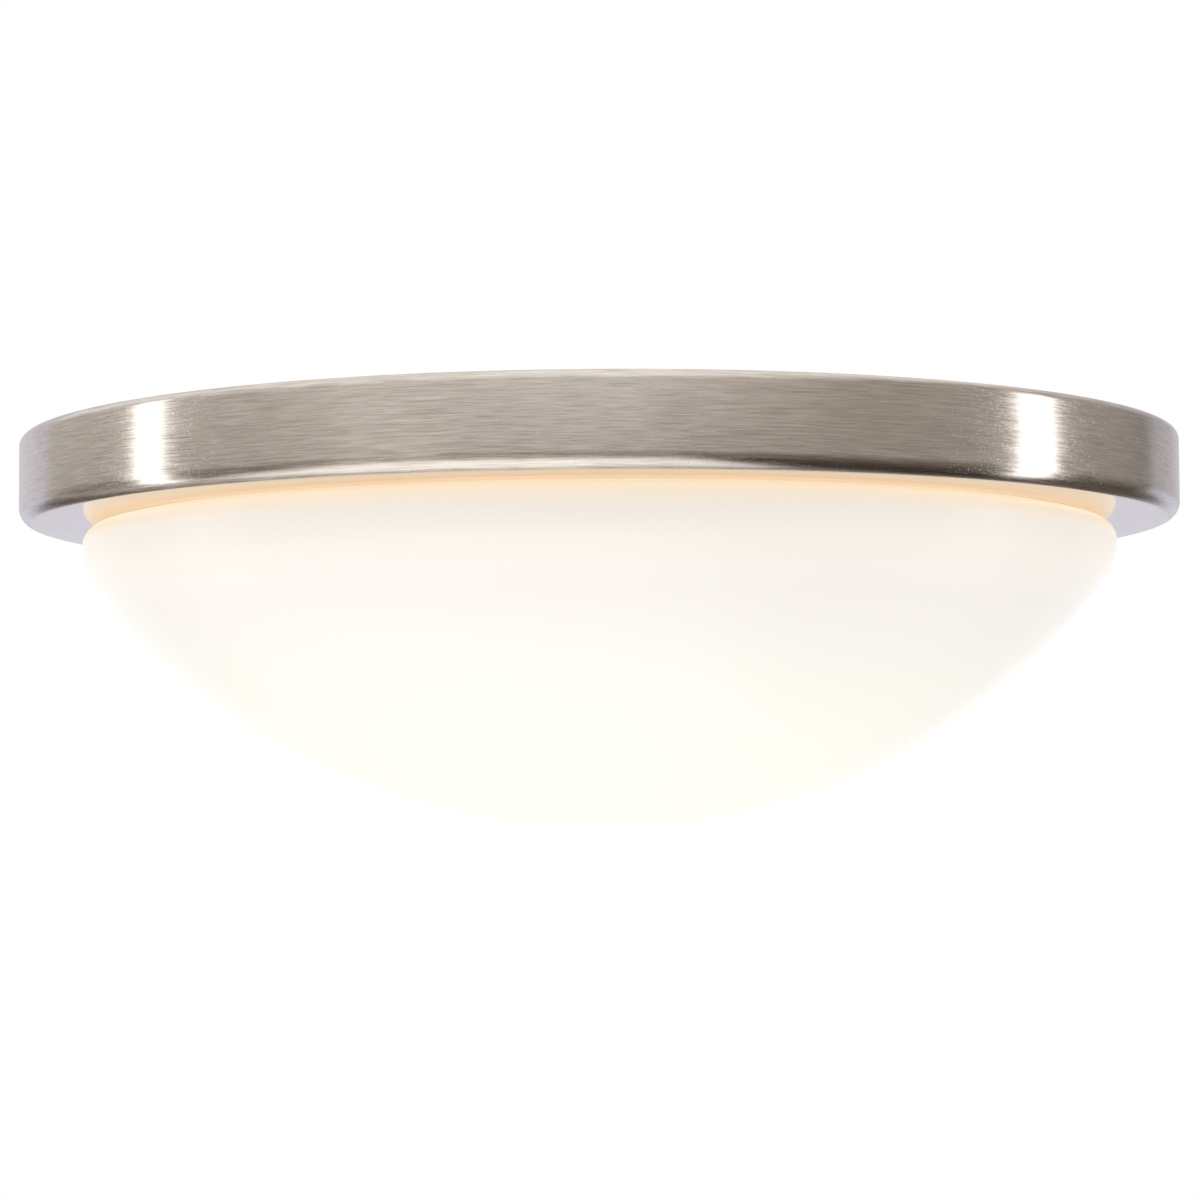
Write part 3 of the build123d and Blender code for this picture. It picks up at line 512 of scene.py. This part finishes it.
def makeGlassShade(s):
    # blown dome of even wall: a bowl that is part of a sphere, a shoulder, a crown, a neck and a rolled lip.
    # The sphere is tangent to the shoulder's arc, so its radius is (a a + b b - q q) / (2 (b - q)), with a
    # the distance of the shoulder's centre from the axis, b the bowl's depth and q the shoulder's radius
    low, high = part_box("glass_shade")
    panLow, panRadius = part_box("trim_pan")[0].z / mm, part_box("trim_pan")[1].x / mm
    widest, lowest, highest = high.x / mm, low.z / mm, high.z / mm
    crown, fillet, q = s["crownRadius"], s["neckFillet"], s["shoulderRadius"]
    crownTop = panLow - s["gap"]
    widestZ = crownTop - crown
    a, b = widest - q, widestZ - lowest
    sphereR = (a ** 2 + b ** 2 - q ** 2) / (2 * (b - q))
    sphereZ = lowest + sphereR
    meet = math.degrees(math.atan2(widestZ - sphereZ, a))
    lipOuter = panRadius - panSettings["flange"] - s["lipClearance"]
    neck = lipOuter - s["groove"]

    def skin(inset):
        # one skin from the axis outwards, with all its arcs set in by the same amount
        return np.concatenate([
            arcPoints((0, sphereZ), sphereR - inset, -90, meet, s["bowlSteps"]),
            arcPoints((a, widestZ), q - inset, meet, 0, s["shoulderSteps"])[1:],
            arcPoints((widest - crown, widestZ), crown - inset, 0, 90, s["crownSteps"])[1:],
            arcPoints((neck + fillet, crownTop + fillet), fillet + inset, 270, 180, s["filletSteps"])])

    # the lip is round, as thick as the wall and the groove together
    lipRadius = (s["wall"] + s["groove"]) / 2
    lipMiddle, lipZ = lipOuter - lipRadius, highest - lipRadius
    root = math.degrees(math.acos((neck - lipMiddle) / lipRadius))
    lip = arcPoints((lipMiddle, lipZ), lipRadius, 180, -root, s["lipSteps"])
    section = np.concatenate([skin(s["wall"]), lip, skin(0)[::-1]])

    # the first and last points are on the axis: each is a pole, with triangles to the ring beside it
    rings, segments = section[1:-1], s["segments"]
    vertices, quads = turnedRings(rings * mm, segments, False)
    vertices = np.concatenate([vertices, [[0, 0, section[0, 1] * mm], [0, 0, section[-1, 1] * mm]]])
    step = np.arange(segments)
    after, last, pole = (step + 1) % segments, (len(rings) - 1) * segments, len(rings) * segments
    start = np.stack([np.full_like(step, pole), step, after], -1)
    end = np.stack([last + step, np.full_like(step, pole + 1), last + after], -1)
    piece = finishMesh("glassShade", vertices, quads.tolist() + start.tolist() + end.tolist(), [opal])
    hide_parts("glass_shade")
    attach(piece, "shade")


makeGlassShade(shadeSettings)
print("glass shade made")


def dress(material, *names):
    # every slot of these CAD solids wears the material
    for name in names:
        solid = nodes[name]
        if not solid.data.materials:
            solid.data.materials.append(material)
        for slot in solid.material_slots:
            slot.material = material


# plain and plated metals: roughness is given for their dull grains and their bright ones
metalSettings = {
    # bright zinc on steel, a cool gloss with a faint spangle
    "zinc steel": {
        "dull": "#a9adb2", "bright": "#c3c8ce", "grain": 2.4, "roughness": (0.42, 0.24),
        "pieces": ("crossbar", "crossbar_studs", "mounting_nuts", "tray_standoffs", "tray_screws",
                   "board_screws", "driver_screws", "terminal_screws", "block_screw", "earth_screw")},
    # zinc dyed green, a metallic green a little lighter where it is worn
    "green screw": {
        "dull": "#1f7038", "bright": "#2c8347", "grain": 1.2, "roughness": (0.42, 0.3),
        "pieces": ("ground_screw",)},
    # turned brass, warm yellow and slightly dulled
    "brass": {
        "dull": "#ac8440", "bright": "#cda656", "grain": 1.5, "roughness": (0.42, 0.24),
        "pieces": ("terminal_barrels",)},
    # stamped copper dipped in tin, a warm pale grey
    "tinned copper": {
        "dull": "#b3afa6", "bright": "#cfcbc2", "grain": 1.8, "roughness": (0.42, 0.24),
        "pieces": ("earth_tag",)},
    # aluminium headed from wire, an even pale grey
    "rivet aluminium": {
        "dull": "#b5b6b8", "bright": "#cbccce", "grain": 1.2, "roughness": (0.42, 0.24),
        "pieces": ("clip_rivets",)},
}


def grainedMetal(name, s):
    # small grains of slightly different tone and gloss
    material, tree = startMaterial(name)
    grain = objectNoise(tree, [s["grain"]] * 3, detail=3.0, roughness=0.6)
    tone = addNode(tree, "MapRange", [grain, *noiseSpan, 0.0, 1.0])
    colour = addNode(tree, "Mix", [tone, hexColour(s["dull"]), hexColour(s["bright"])], data_type="RGBA")
    metal = addNode(tree, "BsdfPrincipled", {
        "Base Color": colour,
        "Roughness": addNode(tree, "MapRange", [grain, *noiseSpan, *s["roughness"]]),
        "Metallic": 1.0})
    addNode(tree, "OutputMaterial", {"Surface": metal})
    return material


mouldedSettings = {
    # moulded nylon, creamy white with a low gloss
    "white nylon": {
        "colour": "#e4e1d7", "grain": 0.6, "relief": 0.015, "roughness": 0.42,
        "pieces": ("board_connector", "terminal_block")},
    # moulded rubber, black and matt
    "black rubber": {
        "colour": "#161616", "grain": 0.35, "relief": 0.02, "roughness": 0.72,
        "pieces": ("supply_grommet", "tray_grommet")},
    # moulded polycarbonate from a mould with a fine grain, near white and slightly matt
    "driver plastic": {
        "colour": "#e6e6e3", "grain": 0.45, "relief": 0.03, "roughness": 0.5,
        "pieces": ("driver_case", "driver_lid")},
}
mouldStrength = 0.5         # of the bump that shows their relief


def mouldedPlastic(name, s):
    # one even colour with the fine texture of its mould
    material, tree = startMaterial(name)
    grain = objectNoise(tree, [s["grain"]] * 3)
    plastic = addNode(tree, "BsdfPrincipled", {
        "Base Color": hexColour(s["colour"]),
        "Roughness": s["roughness"],
        "Normal": addNode(tree, "Bump", {
            "Height": grain, "Strength": mouldStrength, "Distance": s["relief"] * mm})})
    addNode(tree, "OutputMaterial", {"Surface": plastic})
    return material


wireSettings = {
    "black insulation": {"colour": "#101010", "pieces": ("live_lead", "black_lead")},
    "white insulation": {"colour": "#e2e1dc", "pieces": ("neutral_lead",)},
    "green insulation": {"colour": "#16733a", "pieces": ("earth_lead",)},
    "red insulation": {"colour": "#a5120f", "pieces": ("red_lead",)},
}
wireGloss = {"spacing": 0.5, "roughness": (0.34, 0.46)}


def wireInsulation(name, s):
    # extruded PVC: smooth and slightly glossy, its gloss a little uneven
    material, tree = startMaterial(name)
    patches = objectNoise(tree, [wireGloss["spacing"]] * 3)
    cover = addNode(tree, "BsdfPrincipled", {
        "Base Color": hexColour(s["colour"]),
        "Roughness": addNode(tree, "MapRange", [patches, *noiseSpan, *wireGloss["roughness"]])})
    addNode(tree, "OutputMaterial", {"Surface": cover})
    return material


enamelSettings = {
    "colour": "#ecebe6",
    "roughness": 0.3,
    "coat": 0.35,
    "coatRoughness": 0.12,
    "peelSpacing": 1.1,
    "peelDepth": 0.012,
    "peelStrength": 0.4,
}


def bakedEnamel(s):
    # white enamel sprayed on steel and baked: glossy, with a faint orange peel
    material, tree = startMaterial("white enamel")
    peel = objectNoise(tree, [s["peelSpacing"]] * 3, detail=1.0)
    enamel = addNode(tree, "BsdfPrincipled", {
        "Base Color": hexColour(s["colour"]),
        "Roughness": s["roughness"],
        "Coat Weight": s["coat"],
        "Coat Roughness": s["coatRoughness"],
        "Normal": addNode(tree, "Bump", {
            "Height": peel, "Strength": s["peelStrength"], "Distance": s["peelDepth"] * mm})})
    addNode(tree, "OutputMaterial", {"Surface": enamel})
    return material


springSettings = {
    "bright": "#aeb2b8",
    "dull": "#8f949b",
    "lineSpacing": 0.12,
    "lineLength": 8.0,
    "roughness": 0.27,
    "anisotropy": 0.5,
}


def rolledSpring(s):
    # spring strip, bright rolled: fine lines along the roll, up and down the clip
    material, tree = startMaterial("spring steel")
    lines = objectNoise(tree, (s["lineSpacing"], s["lineSpacing"], s["lineLength"]))
    tone = addNode(tree, "MapRange", [lines, *noiseSpan, 0.0, 1.0])
    colour = addNode(tree, "Mix", [tone, hexColour(s["dull"]), hexColour(s["bright"])], data_type="RGBA")
    strip = addNode(tree, "BsdfPrincipled", {
        "Base Color": colour,
        "Roughness": s["roughness"],
        "Metallic": 1.0,
        "Anisotropic": s["anisotropy"]})
    addNode(tree, "OutputMaterial", {"Surface": strip})
    return material


siliconeSettings = {
    "colour": "#dddcd6",
    "bloom": 3.0,               # size of its duller patches
    "roughness": (0.42, 0.55),
    "scatter": 0.25,
    "scatterDepth": 2.0,
}


def softSilicone(s):
    # moulded white silicone, slightly translucent: soft edges and a dull, uneven bloom
    material, tree = startMaterial("silicone")
    bloom = objectNoise(tree, [s["bloom"]] * 3)
    band = addNode(tree, "BsdfPrincipled", {
        "Base Color": hexColour(s["colour"]),
        "Roughness": addNode(tree, "MapRange", [bloom, *noiseSpan, *s["roughness"]]),
        "Subsurface Weight": s["scatter"],
        "Subsurface Scale": s["scatterDepth"] * mm})
    addNode(tree, "OutputMaterial", {"Surface": band})
    return material


boardSettings = {
    "mask": "#eceee8",
    "overCopper": "#dfe3da",
    "rings": (26.0, 46.0, 66.0),        # where the chips stand
    "traceHalf": 3.4,                   # half width of the copper under the mask
    "edge": 0.25,                       # how far its edge fades to either side
    "copperDepth": 0.035,
    "copperStrength": 0.6,
    "roughness": 0.36,
    "coat": 0.2,
    "coatRoughness": 0.2,
}
chipSettings = {
    "counts": (8, 16, 24),              # chips on each ring of the board
    "halfLength": 1.25,                 # of the phosphor, round the ring
    "halfWidth": 0.95,
    "frame": "#e9e7e0",
    "phosphor": "#f0cf62",
    "light": "#ffe2b4",
    "strength": 3.0,
    "roughness": 0.4,
}


def ringDistance(tree, place, rings):
    # the distance r = sqrt(x x + y y) from the light's axis, and how far that is from the nearest ring
    flat = addNode(tree, "VectorMath", [place, (1, 1, 0)], operation="MULTIPLY")
    radius = addNode(tree, "VectorMath", [flat], operation="LENGTH")
    nearest = 1.0           # a metre, farther than any ring
    for ring in rings:
        away = addNode(tree, "Math", [radius, ring * mm], operation="SUBTRACT")
        away = addNode(tree, "Math", [away], operation="ABSOLUTE")
        nearest = addNode(tree, "Math", [away, nearest], operation="MINIMUM")
    return radius, nearest


def circuitBoard(s):
    # aluminium board printed with white solder mask: a soft gloss, and the copper under it shows as raised
    # rings of a slightly darker white
    material, tree = startMaterial("board mask")
    nearest = ringDistance(tree, addNode(tree, "TexCoord").outputs["Object"], s["rings"])[1]
    within, beyond = (s["traceHalf"] - s["edge"]) * mm, (s["traceHalf"] + s["edge"]) * mm
    copper = addNode(tree, "MapRange", [nearest, within, beyond, 1.0, 0.0])
    colour = addNode(tree, "Mix", [copper, hexColour(s["mask"]), hexColour(s["overCopper"])],
                     data_type="RGBA")
    board = addNode(tree, "BsdfPrincipled", {
        "Base Color": colour,
        "Roughness": s["roughness"],
        "Coat Weight": s["coat"],
        "Coat Roughness": s["coatRoughness"],
        "Normal": addNode(tree, "Bump", {
            "Height": copper, "Strength": s["copperStrength"], "Distance": s["copperDepth"] * mm})})
    addNode(tree, "OutputMaterial", {"Surface": board})
    return material


def ledChip(s, rings):
    # white moulded frame with a phosphor pad cast in it, lit warm. The pad repeats round each ring:
    # sideways = (fraction of a turn * count, less the nearest whole) * 2 pi r / count
    material, tree = startMaterial("led phosphor")
    place = addNode(tree, "TexCoord").outputs["Object"]
    radius, outwards = ringDistance(tree, place, rings)
    count = s["counts"][0]
    for fewer, more, inner, outer in zip(s["counts"], s["counts"][1:], rings, rings[1:]):
        past = addNode(tree, "Math", [radius, (inner + outer) / 2 * mm], operation="GREATER_THAN")
        count = addNode(tree, "Math", [past, more - fewer, count], operation="MULTIPLY_ADD")
    axes = addNode(tree, "SeparateXYZ", [place]).outputs
    angle = addNode(tree, "Math", [axes["Y"], axes["X"]], operation="ARCTAN2")
    turn = addNode(tree, "Math", [angle, 2 * math.pi], operation="DIVIDE")
    steps = addNode(tree, "Math", [turn, count], operation="MULTIPLY")
    whole = addNode(tree, "Math", [steps], operation="ROUND")
    offset = addNode(tree, "Math", [steps, whole], operation="SUBTRACT")
    around = addNode(tree, "Math", [radius, 2 * math.pi], operation="MULTIPLY")
    pitch = addNode(tree, "Math", [around, count], operation="DIVIDE")
    sideways = addNode(tree, "Math", [offset, pitch], operation="MULTIPLY")
    sideways = addNode(tree, "Math", [sideways], operation="ABSOLUTE")
    inWidth = addNode(tree, "Math", [outwards, s["halfWidth"] * mm], operation="LESS_THAN")
    inLength = addNode(tree, "Math", [sideways, s["halfLength"] * mm], operation="LESS_THAN")
    pad = addNode(tree, "Math", [inWidth, inLength], operation="MULTIPLY")
    colour = addNode(tree, "Mix", [pad, hexColour(s["frame"]), hexColour(s["phosphor"])], data_type="RGBA")
    chip = addNode(tree, "BsdfPrincipled", {
        "Base Color": colour,
        "Roughness": s["roughness"],
        "Emission Color": hexColour(s["light"]),
        "Emission Strength": addNode(tree, "Math", [pad, s["strength"]], operation="MULTIPLY")})
    addNode(tree, "OutputMaterial", {"Surface": chip})
    return material


for finish, family in ((grainedMetal, metalSettings), (mouldedPlastic, mouldedSettings),
                       (wireInsulation, wireSettings)):
    for materialName, materialSettings in family.items():
        dress(finish(materialName, materialSettings), *materialSettings["pieces"])
dress(bakedEnamel(enamelSettings), "backplate", "reflector_tray")
dress(rolledSpring(springSettings), "spring_clip_1", "spring_clip_2", "spring_clip_3")
dress(softSilicone(siliconeSettings), "shade_gasket")
dress(circuitBoard(boardSettings), "led_board")
dress(ledChip(chipSettings, boardSettings["rings"]), "led_chips")
print("inner pieces dressed")
